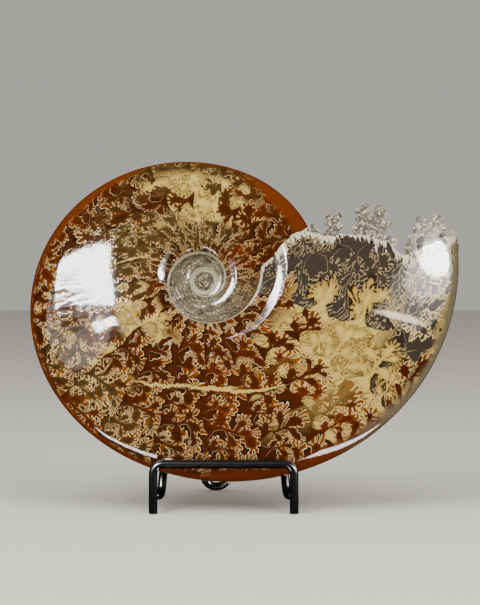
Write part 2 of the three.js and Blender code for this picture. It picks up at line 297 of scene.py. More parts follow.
class MeshParts:
    """Points and faces of a mesh while its rows are laid."""

    def __init__(self):
        self.points, self.growths, self.edges, self.faces, self.slots = [], [], [], [], []
        self.count = 0

    def add_points(self, points, growths=None, edges=None):
        points = np.asarray(points, float).reshape(-1, 3)
        self.points.append(points)
        self.edges.append(np.full(len(points), FAR_FROM_EDGE) if edges is None else edges.ravel())
        self.growths.append(np.zeros(points.shape) if growths is None else growths.reshape(-1, 3))
        self.count += len(points)
        return np.arange(self.count - len(points), self.count)

    def add_grid(self, rows, slot=0):
        corners = [rows[:-1, :-1], rows[:-1, 1:], rows[1:, 1:], rows[1:, :-1]]
        quads = np.stack(corners, axis=-1).reshape(-1, 4)
        self.faces += quads.tolist()
        self.slots += [slot] * len(quads)

    def add_zip(self, first, second, first_places, second_places, slot):
        """Triangles between two rows of points, in the order of their places."""
        i, j = 0, 0
        while i + 1 < len(first) or j + 1 < len(second):
            first_next = first_places[i + 1] if i + 1 < len(first) else math.inf
            second_next = second_places[j + 1] if j + 1 < len(second) else math.inf
            if first_next <= second_next:
                self.faces.append([first[i], first[i + 1], second[j]])
                i += 1
            else:
                self.faces.append([first[i], second[j + 1], second[j]])
                j += 1
            self.slots.append(slot)

    def to_mesh(self, name):
        mesh = bpy.data.meshes.new(name)
        faces = [[int(point) for point in face] for face in self.faces]
        mesh.from_pydata(np.concatenate(self.points).tolist(), [], faces)
        mesh.polygons.foreach_set("material_index", self.slots)
        growth = mesh.attributes.new("growth", "FLOAT_VECTOR", "POINT")
        growth.data.foreach_set("vector", np.concatenate(self.growths).astype(np.float32).ravel())
        edge = mesh.attributes.new("edge", "FLOAT", "POINT")
        edge.data.foreach_set("value", np.concatenate(self.edges).astype(np.float32))
        return mesh


WALL_ROWS = 12
SHOULDER_ROWS = 7
FLANK_ROWS = 42
EDGE_CROWDING = 1.9
OPENING_CHIP = 0.7 * MM
CHIP_WAVES = [(61, 1, 1), (107, 0.7, 2), (211, 0.5, 1)]  # waves, size and phase
CHIP_FADE = 12
MEAN_WHORL_HEIGHT = 80 * MM
SEPTUM_ROWS = 9
SEPTUM_STEPS = 80
FLUTE_DEPTH = 1.1 * MM
FLUTE_LENGTH = 5.5 * MM
FLUTE_SLANT = 2.5
WALL_HOLLOW = 1.5 * MM
WALL_FADE = 8


def section_shares(coil):
    """Shares of the section where the mesh has a row, and the row of the next whorl's seam."""
    wall = SHOULDER * (1 - np.cos(np.linspace(0, math.pi / 2, WALL_ROWS + 1)))
    seam = float(coil.open_share(np.array([coil.last_start]))[0])
    between = np.linspace(SHOULDER, seam, SHOULDER_ROWS + 1)[1:]
    outer = 1 - np.power(1 - np.linspace(0, 1, FLANK_ROWS + 1)[1:], EDGE_CROWDING)
    shares = np.concatenate([wall, between, seam + (1 - seam) * outer])
    return shares, WALL_ROWS + SHOULDER_ROWS


def chipped(places):
    """A small uneven line for broken edges, from -1 to 1, that is zero at both ends."""
    waves = sum(size * np.sin(places * number + phase) for number, size, phase in CHIP_WAVES)
    largest = sum(size for _, size, _ in CHIP_WAVES)
    return waves / largest * np.minimum(1, CHIP_FADE * np.minimum(places, 1 - places))


def half_shell(coil):
    """The front half of the shell, cut in its middle plane, with half of the opening's wall."""
    parts = MeshParts()
    steps = coil.sizes.steps
    shares, seam_row = section_shares(coil)
    place = np.linspace(0, 1, steps + 1)[:, None]
    start = np.radians(along(UNDER_EDGE, shares)) - TURN
    end = np.radians(along(OPENING_EDGE, shares))
    end = end + OPENING_CHIP * chipped(shares) / (coil.seam_radius(end) + shares * MEAN_WHORL_HEIGHT)
    angles = start + (end - start) * place
    share_grid = np.broadcast_to(shares, angles.shape)
    points = coil.surface(angles, share_grid)
    to_edge = (end - angles) * np.hypot(points[..., 0], points[..., 1]) / MM
    last = parts.add_points(points, coil.growth_of(angles, share_grid), to_edge).reshape(angles.shape)
    parts.add_grid(last)

    inner_steps = math.ceil((coil.last_start - coil.inner_start) / TURN * steps)
    inner_angles = coil.last_start - np.arange(inner_steps, 0, -1)[:, None] * TURN / steps
    scale = np.maximum(coil.open_share(inner_angles), 0) / shares[seam_row]
    inner_shares = scale * shares[: seam_row + 1]
    inner_angles = np.broadcast_to(inner_angles, inner_shares.shape)
    inner_points = coil.surface(inner_angles, inner_shares)
    growths = coil.growth_of(inner_angles, inner_shares)
    inner = parts.add_points(inner_points, growths).reshape(inner_shares.shape)
    parts.add_grid(np.concatenate([inner, last[:1, : seam_row + 1]]))
    nucleus = parts.add_points([[0, 0, coil.sizes.nucleus_height]], np.array([[coil.inner_start, 1, 5.0]]))[0]
    for i in range(steps):
        parts.faces.append([nucleus, inner[i][0], inner[i + 1][0]])
        parts.slots.append(0)
    add_septum(parts, coil, last, points, seam_row)
    return parts


def add_septum(parts, coil, last, points, seam_row):
    """The wall of the opening: a fluted, hollow face from the broken edge to the whorl under it."""
    edge_points = points[-1]
    edge_radii = np.hypot(edge_points[:, 0], edge_points[:, 1])
    under_points = points[0, seam_row:]
    under_radii = np.hypot(under_points[:, 0], under_points[:, 1])
    near, far = under_radii[-1], edge_radii[-1]
    middle_shares = np.linspace(0, 1, SEPTUM_STEPS // 2)[1:-1]
    middle_radii = near + (far - near) * middle_shares
    seam = coil.seam_radius(np.zeros(1))[0]
    middle_angles = np.radians(along(OPENING_EDGE, (middle_radii - seam) / (far - seam)))
    middle_angles = middle_angles - SEPTUM_DIP / middle_radii * np.sin(math.pi * middle_shares)
    cosine, sine = np.cos(middle_angles), np.sin(middle_angles)
    middle = np.stack([middle_radii * cosine, middle_radii * sine, 0 * middle_radii], axis=-1)
    middle_row = np.concatenate([last[0, seam_row:], parts.add_points(middle), last[-1, -1:]])
    middle_points = np.concatenate([under_points, middle, edge_points[-1:]])
    middle_places = np.hypot(middle_points[:, 0], middle_points[:, 1])

    radii = np.linspace(edge_radii[0], far, SEPTUM_STEPS + 1)[1:-1]
    outer = np.stack([np.interp(radii, edge_radii, edge_points[:, k]) for k in range(3)], axis=-1)
    inner = np.stack([np.interp(radii, middle_places, middle_points[:, k]) for k in range(3)], axis=-1)
    rows = []
    for k in range(1, SEPTUM_ROWS):
        share = k / SEPTUM_ROWS
        row = outer + (inner - outer) * share
        flutes = np.sin(radii / FLUTE_LENGTH * TURN + FLUTE_SLANT * share) * FLUTE_DEPTH * (1 - share) ** 0.5
        dip = WALL_HOLLOW * np.sin(math.pi * share) - flutes * math.sin(math.pi * share) ** 0.5
        back = np.stack([row[:, 1], -row[:, 0], 0 * radii], axis=-1) / np.hypot(row[:, 0], row[:, 1])[:, None]
        from_end = np.minimum(radii - radii[0], radii[-1] - radii) / (far - edge_radii[0])
        ends = np.minimum(1, WALL_FADE * from_end)
        row = row + back * (dip * ends)[:, None]
        points_row = parts.add_points(row)
        rows.append(np.concatenate([last[-1, :1], points_row, last[-1, -1:]]))
    places = np.concatenate([edge_radii[:1], radii, edge_radii[-1:]])
    parts.add_zip(last[-1], rows[0], edge_radii, places, 1)
    for first, second in zip(rows, rows[1:]):
        parts.add_zip(first, second, places, places, 1)
    parts.add_zip(rows[-1], middle_row, places, middle_places, 1)


# Free lobes at the opening, the saddles of the last suture, as trees of fingers in the plane of the shell,
# in mm. A tree stands at x, y from the coil's centre, and a finger is x, y of its root, x, y of its tip,
# width at the root and width at the tip, measured from its tree.
LOBE_RECESS = 0.25 * MM
LOBE_TREES = [
    ((50, 15.4), [(-1, 0, 0.3, 6.7, 4.4, 2.4), (1.5, 1.5, 2.9, 4.6, 2.8, 1.5)]),
    ((60, 11.4), [
        (0, 0, 0, 11.5, 8.6, 6.6), (-1, 11, -2.4, 15.2, 3.8, 2.9), (-2.5, 14.5, -4, 15.4, 2, 1.5),
        (0.5, 11.5, 1.8, 16.4, 3.8, 2.6), (1.8, 14.6, 3.4, 15.6, 2, 1.6), (0.5, 9.5, 3.4, 11.2, 3, 2),
    ]),
    ((76.6, 11.8), [
        (0.5, 0, -0.7, 11.7, 12.4, 10.4), (-3, 11, -1.9, 19.8, 6.2, 3.9), (-3.5, 17, -5.8, 18.4, 3, 1.5),
        (-4, 14.5, -5.8, 15.4, 3, 1.9), (2.5, 11.5, 3.5, 16.8, 5.6, 4.7), (3.5, 16, 4.4, 19.6, 3.8, 2.8),
        (4, 15.2, 6.5, 17.5, 3.3, 2.4), (4.4, 10.2, 9, 12.6, 3.7, 2.4), (4, 7, 4.9, 9.6, 3.8, 2.4),
        (-6.3, 7, -7, 10.2, 2.9, 1.9),
    ]),
    ((86.3, 8.9), [
        (-0.5, 0, 0.7, 7.3, 5.6, 3.4), (0.2, 5.8, 2.2, 6.5, 1.9, 1.4), (0, 3.5, 1.8, 4.1, 1.9, 1.4),
    ]),
    ((104.3, 10), [
        (0.7, 0, 0.4, 10.2, 12.4, 9.4), (-8, 2.5, -9, 8, 5.6, 2.9), (-7.2, 7, -5.6, 9.6, 2.8, 1.9),
        (-2, 11, -3.9, 16.3, 6.6, 4.2), (-4.2, 16.4, -5.6, 17.6, 2.4, 1.9),
        (-3.6, 16.8, -2.2, 17.6, 2.2, 1.9), (-3.4, 12.4, -6.4, 13.8, 3.3, 1.5),
        (2.6, 11, 4.2, 18, 5.0, 3.2), (4.0, 17.5, 3.2, 19.4, 2.4, 1.9), (4.4, 17, 6.0, 18.9, 2.4, 1.9),
        (4.6, 13.6, 6.4, 15.2, 2.4, 1.7),
    ]),
    ((114.6, 15.6), [(-2.2, 0, 0.1, 6.2, 5.6, 3.3), (2.2, -1, 2.2, 2.9, 2.8, 2.4)]),
]
FINGER_SLIMNESS = 0.76
DISC_SIDES = 16
KNOB_PITCH = 3.2  # mm along a finger's side
KNOB_RADIUS = (0.65, 1.05)
KNOB_OUT = 0.4  # of its radius, from the finger's side
FIRST_KNOB, NEXT_KNOB = (0.5, 1.0), (0.8, 1.3)  # of the pitch
TIP_KNOB_ANGLE, TIP_KNOB_WANDER = 48, 12  # degrees
TIP_KNOB_RADIUS, TIP_KNOB_OUT = (0.22, 0.28), 0.25  # of the tip's width, and of the knob's radius
LOBE_FACES_KEPT = 0.7


def deselect_all():
    """Leaves nothing selected, so that an operator acts only on what is selected next."""
    for item in bpy.context.selected_objects:
        item.select_set(False)


def select_only(item):
    deselect_all()
    item.select_set(True)
    bpy.context.view_layer.objects.active = item


def apply_modifier(item, kind, **settings):
    """Adds a modifier with its settings and applies it."""
    select_only(item)
    modifier = item.modifiers.new(kind.title(), kind)
    for name, value in settings.items():
        setattr(modifier, name, value)
    bpy.ops.object.modifier_apply(modifier=modifier.name)


def add_disc(x, y, radius, thickness):
    """A round plate of the mesh in edit mode, its top at height zero. It stays selected."""
    bpy.ops.mesh.primitive_cylinder_add(
        vertices=DISC_SIDES, radius=radius * MM, depth=thickness, location=(x * MM, y * MM, -thickness / 2)
    )


def add_finger(mesh, tree, finger, thickness, random):
    """One tapered finger with round ends and small knobs along its sides."""
    (x, y), (from_x, from_y, to_x, to_y, root_width, tip_width) = tree, finger
    root_width, tip_width = root_width * FINGER_SLIMNESS, tip_width * FINGER_SLIMNESS
    root, tip = Vector((x + from_x, y + from_y)), Vector((x + to_x, y + to_y))
    first = len(bmesh.from_edit_mesh(mesh).verts)
    add_disc(*root, root_width / 2, thickness)
    add_disc(*tip, tip_width / 2, thickness)
    form = bmesh.from_edit_mesh(mesh)
    for vertex in form.verts:
        vertex.select = vertex.index >= first
    form.select_flush_mode()
    bpy.ops.mesh.convex_hull()
    way = (tip - root).normalized()
    across = Vector((-way.y, way.x))
    reach = (tip - root).length
    for side in (1, -1):
        place = KNOB_PITCH * random.uniform(*FIRST_KNOB)
        while place < reach:
            share = place / reach
            half = (root_width + (tip_width - root_width) * share) / 2
            radius = random.uniform(*KNOB_RADIUS)
            centre = root + way * place + across * side * (half + KNOB_OUT * radius)
            add_disc(*centre, radius, thickness)
            place += KNOB_PITCH * random.uniform(*NEXT_KNOB)
    for turn in (-1, 0, 1):
        angle = math.radians(TIP_KNOB_ANGLE * turn + random.uniform(-TIP_KNOB_WANDER, TIP_KNOB_WANDER))
        spoke = way * math.cos(angle) + across * math.sin(angle)
        radius = tip_width * random.uniform(*TIP_KNOB_RADIUS)
        add_disc(*(tip + spoke * (tip_width / 2 + TIP_KNOB_OUT * radius)), radius, thickness)


def free_lobes(coil):
    """The free lobes of one side as a flat plate, then laid on the flank that they grew with."""
    thickness = coil.sizes.lobe_thickness
    mesh = bpy.data.meshes.new("free_lobes")
    item = bpy.data.objects.new("free_lobes", mesh)
    bpy.context.scene.collection.objects.link(item)
    select_only(item)
    random = np.random.RandomState(7)
    bpy.ops.object.mode_set(mode="EDIT")
    for tree, fingers in LOBE_TREES:
        for finger in fingers:
            add_finger(mesh, tree, finger, thickness, random)
    bpy.ops.object.mode_set(mode="OBJECT")
    apply_modifier(item, "REMESH", mode="VOXEL", voxel_size=coil.sizes.lobe_voxel)
    apply_modifier(item, "SMOOTH", factor=0.5, iterations=3)
    points = np.zeros(len(item.data.vertices) * 3)
    item.data.vertices.foreach_get("co", points)
    points = points.reshape(-1, 3)
    angle, radius = np.arctan2(points[:, 1], points[:, 0]), np.hypot(points[:, 0], points[:, 1])
    points[:, 2] += coil.flank_height(angle, radius) - LOBE_RECESS
    item.data.vertices.foreach_set("co", points.ravel())
    item.data.update()
    apply_modifier(item, "DECIMATE", ratio=LOBE_FACES_KEPT)
    return item


MERGE = 0.01 * MM
SMOOTH_ANGLE = math.radians(38)


class AMMONITE_OT_shell(bpy.types.Operator):
    """Builds the coiled shell with its opening and free lobes"""

    bl_idname = "ammonite.shell"
    bl_label = "Shell"

    def execute(self, context):
        coil = Coil(context.scene.coil_sizes)
        mesh = half_shell(coil).to_mesh("ammonite_fossil")
        shell = bpy.data.objects.new("ammonite_fossil", mesh)
        context.scene.collection.objects.link(shell)
        lobes = free_lobes(coil)
        colours = context.scene.fossil_colours
        broken = broken_calcite(colours)
        mesh.materials.append(polished_calcite(colours, coil))
        mesh.materials.append(broken)
        lobes.data.materials.append(broken)
        select_only(shell)
        lobes.select_set(True)
        bpy.ops.object.join()
        apply_modifier(shell, "MIRROR", use_axis=(False, False, True), use_clip=True, merge_threshold=MERGE)
        shell.data.transform(coil_matrix())
        bpy.ops.object.mode_set(mode="EDIT")
        bpy.ops.mesh.select_all(action="SELECT")
        bpy.ops.mesh.remove_doubles(threshold=MERGE)
        bpy.ops.mesh.normals_make_consistent(inside=False)
        bpy.ops.object.mode_set(mode="OBJECT")
        bpy.ops.object.shade_smooth_by_angle(angle=SMOOTH_ANGLE)
        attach(shell, "root")
        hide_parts("ammonite")
        return {"FINISHED"}


# The suture pattern: chambers of the shell meet in fronds that point towards the opening. The formulas know
# these numbers by name. A length is in radians of growth, unless it says mm.
PATTERN = {
    "SUTURE_SPACING": 0.305,
    "LAST_SPACING": 0.49,  # the last chamber is longer
    "LAST_SUTURE": math.radians(-18),
    "CELL": 0.22,  # a frond's place across the flank
    "FROND_SCALE": 84,  # mm from the coil's centre, where a radian of the drawing is a radian of growth
    "STEM_WIDTH": 0.0105,
    "STEM_START": -0.05,
    "FAN_RADIUS": 0.046,
    "FINGER_ANGLE": math.radians(30),  # least angle from finger to finger, and how much more some have
    "FINGER_ANGLE_MORE": math.radians(16),
    "LAST_FINGER": 3,
    "FIRST_FINGER": -3,
    "LEAN_LEAST": math.radians(40),  # angle of a branch to its stem, and how much more some have
    "LEAN_MORE": math.radians(18),
    "BULGE_TURN": 0.9 * math.pi,
    "BLEND": 0.003,
    "SMALL": 1.35,  # the small fronds between two large ones are this much smaller
    "HUNG": 1.6,  # and so are the fronds that hang from the opening
    "HUNG_LENGTH": 0.50,
    "MM": MM,
}
PATTERN["LAST_EXTRA"] = PATTERN["LAST_SPACING"] - PATTERN["SUTURE_SPACING"]
PATTERN["CELL_MM"] = PATTERN["CELL"] * PATTERN["FROND_SCALE"]
PATTERN["SMALL_CELL"] = PATTERN["CELL"] * PATTERN["SMALL"]
PATTERN["SMALL_LENGTH"] = 0.62 * PATTERN["SMALL"]
PATTERN["FAN_BACK"] = 0.8 * PATTERN["FAN_RADIUS"]
PATTERN["MIDDLE"] = PATTERN["LAST_SUTURE"] + PATTERN["SUTURE_SPACING"] / 2


def new_group(name, inputs, outputs):
    """A new node group with its sockets, and a dict of what comes in."""
    tree = bpy.data.node_groups.new(name, "ShaderNodeTree")
    for way, names in (("INPUT", inputs), ("OUTPUT", outputs)):
        for socket in names.split():
            tree.interface.new_socket(socket, in_out=way, socket_type="NodeSocketFloat")
    return tree, {socket.name: socket for socket in tree.nodes.new("NodeGroupInput").outputs}


def link_outputs(tree, known):
    """Links the known results to the group's outputs of the same names."""
    for socket in tree.nodes.new("NodeGroupOutput").inputs:
        if socket.name in known:
            tree.links.new(known[socket.name], socket)


def fan_group():
    """A node group: distance to a fan of round-tipped fingers, and the share of the way out to its tips."""
    tree, known = new_group("Finger fan", "Along Across Radius Seed", "distance tip")
    own = add_node(tree, "TexWhiteNoise", {"W": known["Seed"]}, noise_dimensions="1D")
    known["wide"], known["full"], _ = add_node(tree, "SeparateColor", [own.outputs["Color"]]).outputs
    # The finger that a point is nearest to, and the point's place along it, a, and across it, b.
    add_formulas(tree, known, """
        finger_angle = wide * FINGER_ANGLE_MORE + FINGER_ANGLE
        not_over = min(round(atan2(Across, Along) / finger_angle), LAST_FINGER)
        finger = max(not_over, FIRST_FINGER)
        angle = finger * finger_angle
        cosine = cos(angle)
        sine = sin(angle)
        a = Along * cosine + Across * sine
        back = -Along
        b = back * sine + Across * cosine
        identity = Seed * 77.7 + finger
    """)
    white = add_node(tree, "TexWhiteNoise", {"W": known["identity"]}, noise_dimensions="1D")
    known["random"] = white.outputs["Value"]
    # Distance to that finger, blended with the round palm of the fan.
    add_formulas(tree, known, """
        reach = (random * 0.45 + 0.66) * (finger * finger * -0.03 + 1) * Radius
        on_finger = min(max(a, Radius * 0.3), reach)
        past = a - on_finger
        f_distance = on_finger * finger_angle * -0.4 + sqrt(b * b + past * past)
        radius = sqrt(Across * Across + Along * Along)
        distance = blend(radius - Radius * (full * 0.26 + 0.4), f_distance, BLEND)
        tip = clamp(radius / Radius * 1.6 - 0.6)
    """)
    link_outputs(tree, known)
    return tree


def frond_group():
    """A node group: distance to a frond's outline, negative inside, and how near its tips a point is."""
    fan = fan_group()
    inputs = "Along Across Length Root Reach Spread Lean Phase"
    tree, known = new_group("Suture frond", inputs, "distance tip")
    # The stem, which widens at its open root, and the nearest branch, at an even spacing on each side of it.
    add_formulas(tree, known, """
        open = clamp(Along / -0.06 + 1)
        stem_end = Length - FAN_BACK
        on = max(min(Along, stem_end), STEM_START)
        past = Along - on
        across2 = Across * Across
        stem = sqrt(past * past + across2) - (open * open * Root + STEM_WIDTH)
        spacing = Spread * 0.02 + 0.086
        angle = Lean * LEAN_MORE + LEAN_LEAST
        cosine = cos(angle)
        sine = sin(angle)
        b_side = Across > 0
        b_offset = (b_side * 0.5 + (Phase * 0.4 + 0.1)) * spacing
        b_from = across2 * 1.6 + Along - b_offset
        b_away = abs(Across)
        b_number = floor((b_from - b_away * (cosine / sine)) / spacing)
        b_root = (b_number + 0.5) * spacing
        b_place = b_root + b_offset
        b_ahead = b_from - b_root
        b_along = b_away * sine + b_ahead * cosine
        b_across = -b_ahead * sine + b_away * cosine
        b_missing = 1 - (b_place > 0.012) * (b_place < Length - FAN_RADIUS)
        b_wide = (sin(b_place / Length * BULGE_TURN) * 0.045 + 0.055) * Reach
        b_centre = b_wide / sine * 0.56
        b_fan_size = spacing * sine * 0.56
        b_seed = b_side * 31.7 + b_number + Phase
        b_fan_along = (b_along - b_centre) * 0.52
        end_along = (Along - stem_end) * 0.56
        s_past = b_along - max(min(b_along, max(b_centre, 0.0001)), 0)
        s_distance = sqrt(b_across * b_across + s_past * s_past) - STEM_WIDTH
    """)
    for name, given in (
        ("side", (known["b_fan_along"], known["b_across"], known["b_fan_size"], known["b_seed"])),
        ("end", (known["end_along"], known["Across"], PATTERN["FAN_RADIUS"], known["Lean"])),
    ):
        known[name + "_fan"], known[name + "_tip"] = add_node(tree, "Group", given, node_tree=fan).outputs
    # The outline runs round the stem, the branch and their fans.
    add_formulas(tree, known, """
        side = blend(s_distance, side_fan, BLEND) + b_missing
        middle = blend(stem, end_fan, BLEND)
        distance = blend(middle, side, BLEND)
        tip = ((side < middle) * (side_tip - end_tip) + end_tip) * clamp(stem * 40)
    """)
    link_outputs(tree, known)
    return tree


WARPS = [(4.5, 0.085), (15.0, 0.030), (50.0, 0.011)]  # waves in a radian, strength


def noise_shift(tree, place, strength, **settings):
    """A small shift by noise at a place, up to half its strength in each direction."""
    noise = add_node(tree, "TexNoise", {"Vector": place, **settings})
    centred = add_node(tree, "VectorMath", [noise.outputs["Color"], (0.5, 0.5, 0.5)], operation="SUBTRACT")
    return add_node(tree, "VectorMath", [centred.outputs[0], strength], operation="MULTIPLY").outputs[0]


def suture_group(coil):
    """A node group for the whole pattern: mm to the nearest suture and where in the chambers a point is."""
    frond = frond_group()
    results = "depth inside tip chamber random angle level r_mm seam back hanging hung hair"
    tree, known = new_group("Sutures", "", results)
    growth = add_node(tree, "Attribute", attribute_name="growth")
    growth_parts = add_node(tree, "SeparateXYZ", [growth.outputs["Vector"]])
    known["angle"], known["level"], known["seam"] = growth_parts.outputs
    stand = coil_matrix()
    local = add_node(tree, "Mapping", [
        add_node(tree, "TexCoord").outputs["Object"], stand.translation, stand.to_euler(),
    ], vector_type="TEXTURE")
    known["x"], known["y"], known["z"] = add_node(tree, "SeparateXYZ", [local.outputs[0]]).outputs
    add_formulas(tree, known, """
        back = z < 0
        r_mm = sqrt(y * y + x * x) / MM
        seed = back * 9
    """)
    place = add_node(tree, "CombineXYZ", [known["angle"], known["level"], known["seed"]]).outputs[0]
    warped = place
    for frequency, strength in WARPS:
        shift = noise_shift(tree, place, [strength] * 3, Scale=frequency, Detail=0.0)
        warped = add_node(tree, "VectorMath", [warped, shift], operation="ADD").outputs[0]
    known["a"], known["l"], _ = add_node(tree, "SeparateXYZ", [warped]).outputs
    # Sutures count back from the last one, 0, and fronds count in from the outer edge. A point has a place in
    # the cell of a large frond, of a small one between two large ones, and of one hung from the opening.
    add_formulas(tree, known, """
        t = a - LAST_SUTURE
        x_all = max(t, 0) / LAST_SPACING + min(t, 0) / SUTURE_SPACING
        suture = floor(x_all)
        newest = suture > -0.5
        cell_length = max(suture, 0) * LAST_EXTRA + SUTURE_SPACING
        u = (x_all - suture) * cell_length
        outer_mm = r_mm * exp(level)
        frond = (outer_mm - outer_mm * exp(-l)) / CELL_MM - 0.15
        size = max(min(FROND_SCALE / r_mm, 2), 0.7)
        frond_round = round(frond)
        v = (frond - frond_round) * CELL
        u_one = u / size
        length_one = (newest * -0.13 + 0.268) / size
        small_floor = floor(frond)
        u_two = u_one * SMALL
        w = (frond - small_floor - 0.5) * SMALL_CELL
        length_two = length_one * SMALL_LENGTH
        small_id = small_floor + 40.5
        hung_frond = frond * HUNG
        hung_round = round(hung_frond)
        h = (hung_frond - hung_round) * CELL
        u_hung = (cell_length - u) * HUNG / size
    """)
    for name, number, along, across, length, root, reach in (
        ("large", "frond_round", "u_one", "v", "length_one", 0.055, 1.0),
        ("small", "small_id", "u_two", "w", "length_two", 0.03, 0.9),
        ("hanging", "hung_round", "u_hung", "h", "HUNG_LENGTH", 0.06, 1.0),
    ):
        cell = add_node(tree, "CombineXYZ", [known["suture"], known[number], known["seed"]])
        white = add_node(tree, "TexWhiteNoise", [cell.outputs[0]], noise_dimensions="3D")
        own = add_node(tree, "SeparateColor", [white.outputs["Color"]]).outputs
        length = known[length] if length in known else PATTERN[length]
        given = [known[along], known[across], length, root, reach, *own]
        known[name + "_raw"], known[name + "_tip"] = add_node(tree, "Group", given, node_tree=frond).outputs
        known[name + "_random"] = own[0]
    # The nearest frond counts. The last chamber has no small fronds, and only there do fronds hang.
    add_formulas(tree, known, """
        small = small_raw / SMALL + newest
        nearest = min(large_raw, small)
        inside = nearest < 0
        distance = abs(nearest)
        depth = distance * (r_mm * size)
        large_wins = large_raw < small
        tip = large_wins * (large_tip - small_tip) + small_tip
        random = large_wins * (large_random - small_random) + small_random
        chamber = suture - inside
        not_last = suture < -0.5
        hung = max((hanging_raw < 0) - not_last, 0)
        hair = abs(hanging_raw) / HUNG * FROND_SCALE
        hanging = hair + not_last * 99
    """)
    link_outputs(tree, known)
    return tree


# Places of the colours, as (softness, spots). A spot is its growth angle in degrees, the logarithm of the
# outer radius over its radius, its reach in each, and its tilt in degrees. The spots of CHAMBER_SPOTS take
# whole chambers, those of SURFACE_SPOTS lie as they are.
CHAMBER_SPOTS = {
    "cream": (0.32, [
        (-30, 0.2, 26, 0.50, 0), (-32, 0.7, 24, 0.35, 0), (-155, 0.95, 20, 0.40, 0),
        (-278, 0.45, 32, 0.34, 0), (-152, 0.35, 14, 0.12, 0), (-40, 0.13, 17, 0.22, 0),
        (-50, 0.42, 12, 0.20, 0),
    ]),
    "grey_spots": (0.4, [(-22, 0.13, 13, 0.13, 0)]),
    "olive": (0.6, [
        (-205, 0.75, 36, 0.45, 0), (-275, 0.15, 30, 0.25, 0), (-262, 0.95, 52, 0.4, 0),
        (-142, 0.14, 18, 0.12, 0), (-160, 0.26, 20, 0.18, 0),
    ]),
    "pale": (0.9, [(-150, 0.15, 36, 0.30, 0), (-13, 0.08, 12, 0.12, 0)]),
}
SURFACE_SPOTS = {
    "bands": (0.5, [
        (-108, 0.52, 15, 0.012, 19), (-86, 0.575, 13, 0.016, 0), (-68, 0.527, 14, 0.013, -10.6),
        (-11.8, 0.225, 1.0, 0.12, 0), (-194, 0.80, 13, 0.008, -58.5),
    ]),
    "rims": (0.5, [
        (-6, 0.0, 16, 0.035, 0), (-318, 0.02, 26, 0.13, 0), (-215, 0.0, 30, 0.07, 0), (-60, 0.0, 40, 0.05, 0),
    ]),
    "dull": (0.8, [(-166, 0.18, 15, 0.24, 0)]),
    "matt": (0.4, [(-48, 1.28, 28, 0.20, 0)]),
}


def add_spots(tree, place, softness, spots):
    """The share of a colour: 1 in the middle of its spots and 0 outside them."""
    total = 0.0
    for angle, level, angle_reach, level_reach, tilt in spots:
        scaled = add_node(tree, "Mapping", {
            "Vector": place, "Location": (math.radians(angle), level, 0),
            "Rotation": (0, 0, math.radians(tilt)), "Scale": (math.radians(angle_reach), level_reach, 1),
        }, vector_type="TEXTURE")
        distance = add_node(tree, "VectorMath", [scaled.outputs[0]], operation="LENGTH").outputs["Value"]
        known = {"total": total, "distance": distance, "slope": -1 / softness, "offset": 1 / softness + 0.5}
        add_formulas(tree, known, "total = max(total, clamp(distance * slope + offset))")
        total = known["total"]
    return total


# How the colours lie over each other: the result, the share of the upper one, the lower and the upper one.
PAINT_LAYERS = [
    ("ground", "ember_share", "brown", "ember"), ("ground", "olive", "ground", "olive"),
    ("ground", "grey", "ground", "grey"), ("ground", "cream_share", "ground", "cream"),
    # This row lays painted shade inside the cream fronds and a painted shadow just outside every outline.
    ("ground", "cream_shade", "ground", "cream_line"), ("ground", "gap_share", "ground", "gap"),
    ("ground", "deep", "ground", "gap"), ("hair", "cream_share", "old_outline", "cream_line"),
    ("ground", "hair_share", "ground", "hair"), ("tips", "ember_glow", "glow", "ember"),
    ("ground", "glow_left", "ground", "tips"), ("line", "old", "outline", "old_outline"),
    ("line", "cream_share", "line", "cream_line"), ("ground", "lines", "ground", "line"),
    ("edge", "pale_turn", "rim", "pale_rim"), ("band", "pale_turn", "cream", "lobe_edge"),
    ("ground", "bands", "ground", "band"), ("ground", "to_edge", "ground", "edge"),
    ("clear", "pit", "umbilicus", "gap"), ("clear", "fleck", "clear", "seam"),
    ("ground", "inner", "ground", "clear"), ("ground", "seam_share", "ground", "seam"),
    ("ground", "edge_share", "ground", "lobe_edge"),
]


def new_material(name):
    """A new material and its empty node tree."""
    material = bpy.data.materials.new(name)
    material.use_nodes = True
    material.node_tree.nodes.clear()
    return material, material.node_tree


